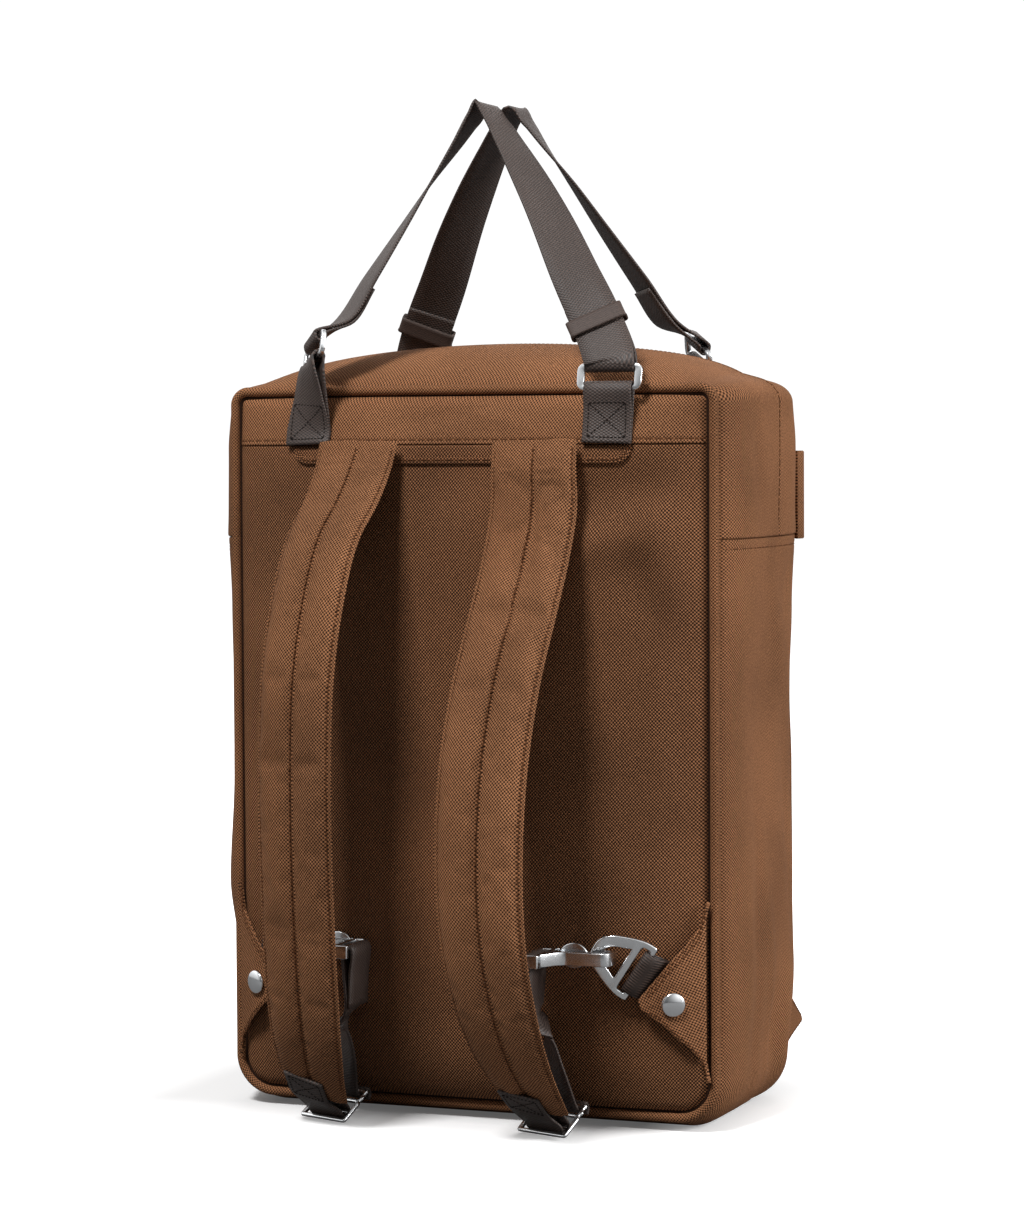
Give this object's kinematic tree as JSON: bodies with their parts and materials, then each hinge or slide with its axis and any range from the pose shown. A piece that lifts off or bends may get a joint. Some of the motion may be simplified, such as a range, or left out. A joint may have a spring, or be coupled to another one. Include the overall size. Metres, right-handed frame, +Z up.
{
  "type": "convertible backpack",
  "caption": "Slim upright bag carried by two padded shoulder straps that clip to corner rings, or by a pair of webbing tote handles.",
  "frame": {"origin": "Middle of the flat base, on the floor.", "axes": "+Z up, -Y the carrying side with the shoulder straps, +X to the right as seen from the carrying side."},
  "size_m": [0.311, 0.2662, 0.5633],
  "materials": {
    "canvas": "matt woven canvas",
    "webbing": "matt woven webbing",
    "metal": "satin plated"
  },
  "bodies": {
    "bag": {"back_panel": "canvas", "back_yoke": "canvas", "front_panel": "canvas", "lower_gusset": "canvas", "top_gusset_back": "canvas", "top_gusset_front": "canvas", "strap_patch": "canvas", "front_loop": "canvas", "front_tab": "canvas", "shoulder_strap_right": "canvas", "strap_tongue_right": "webbing", "ladder_buckle_right": "metal", "adjust_webbing_right": "webbing", "hook_right": "metal", "corner_ring_right": "metal", "ring_webbing_right": "webbing", "corner_tab_right": "canvas", "rivet_right": "metal", "shoulder_strap_left": "canvas", "strap_tongue_left": "webbing", "ladder_buckle_left": "metal", "adjust_webbing_left": "webbing", "hook_left": "metal", "corner_ring_left": "metal", "ring_webbing_left": "webbing", "corner_tab_left": "canvas", "rivet_left": "metal", "handle_back": "webbing", "keeper_back": "webbing", "handle_ring_back_right": "metal", "handle_ring_back_left": "metal", "handle_anchor_back_right": "webbing", "handle_anchor_back_left": "webbing", "handle_front": "webbing", "keeper_front": "webbing", "handle_ring_front_left": "metal", "handle_ring_front_right": "metal", "handle_anchor_front_left": "webbing", "handle_anchor_front_right": "webbing"},
    "gate_right": {"gate_right": "metal"},
    "gate_left": {"gate_left": "metal"}
  },
  "joints": [
    {"name": "gate_right_hinge", "type": "hinge", "parent": "bag", "child": "gate_right", "pos_m": [0.0595, -0.0878, 0.097], "axis": [0, 0, 1], "range_deg": [-20, 0], "stiffness_Nm_per_rad": 0.02},
    {"name": "gate_left_hinge", "type": "hinge", "parent": "bag", "child": "gate_left", "pos_m": [-0.0595, -0.0878, 0.097], "axis": [0, 0, 1], "range_deg": [0, 20], "stiffness_Nm_per_rad": 0.02}
  ]
}
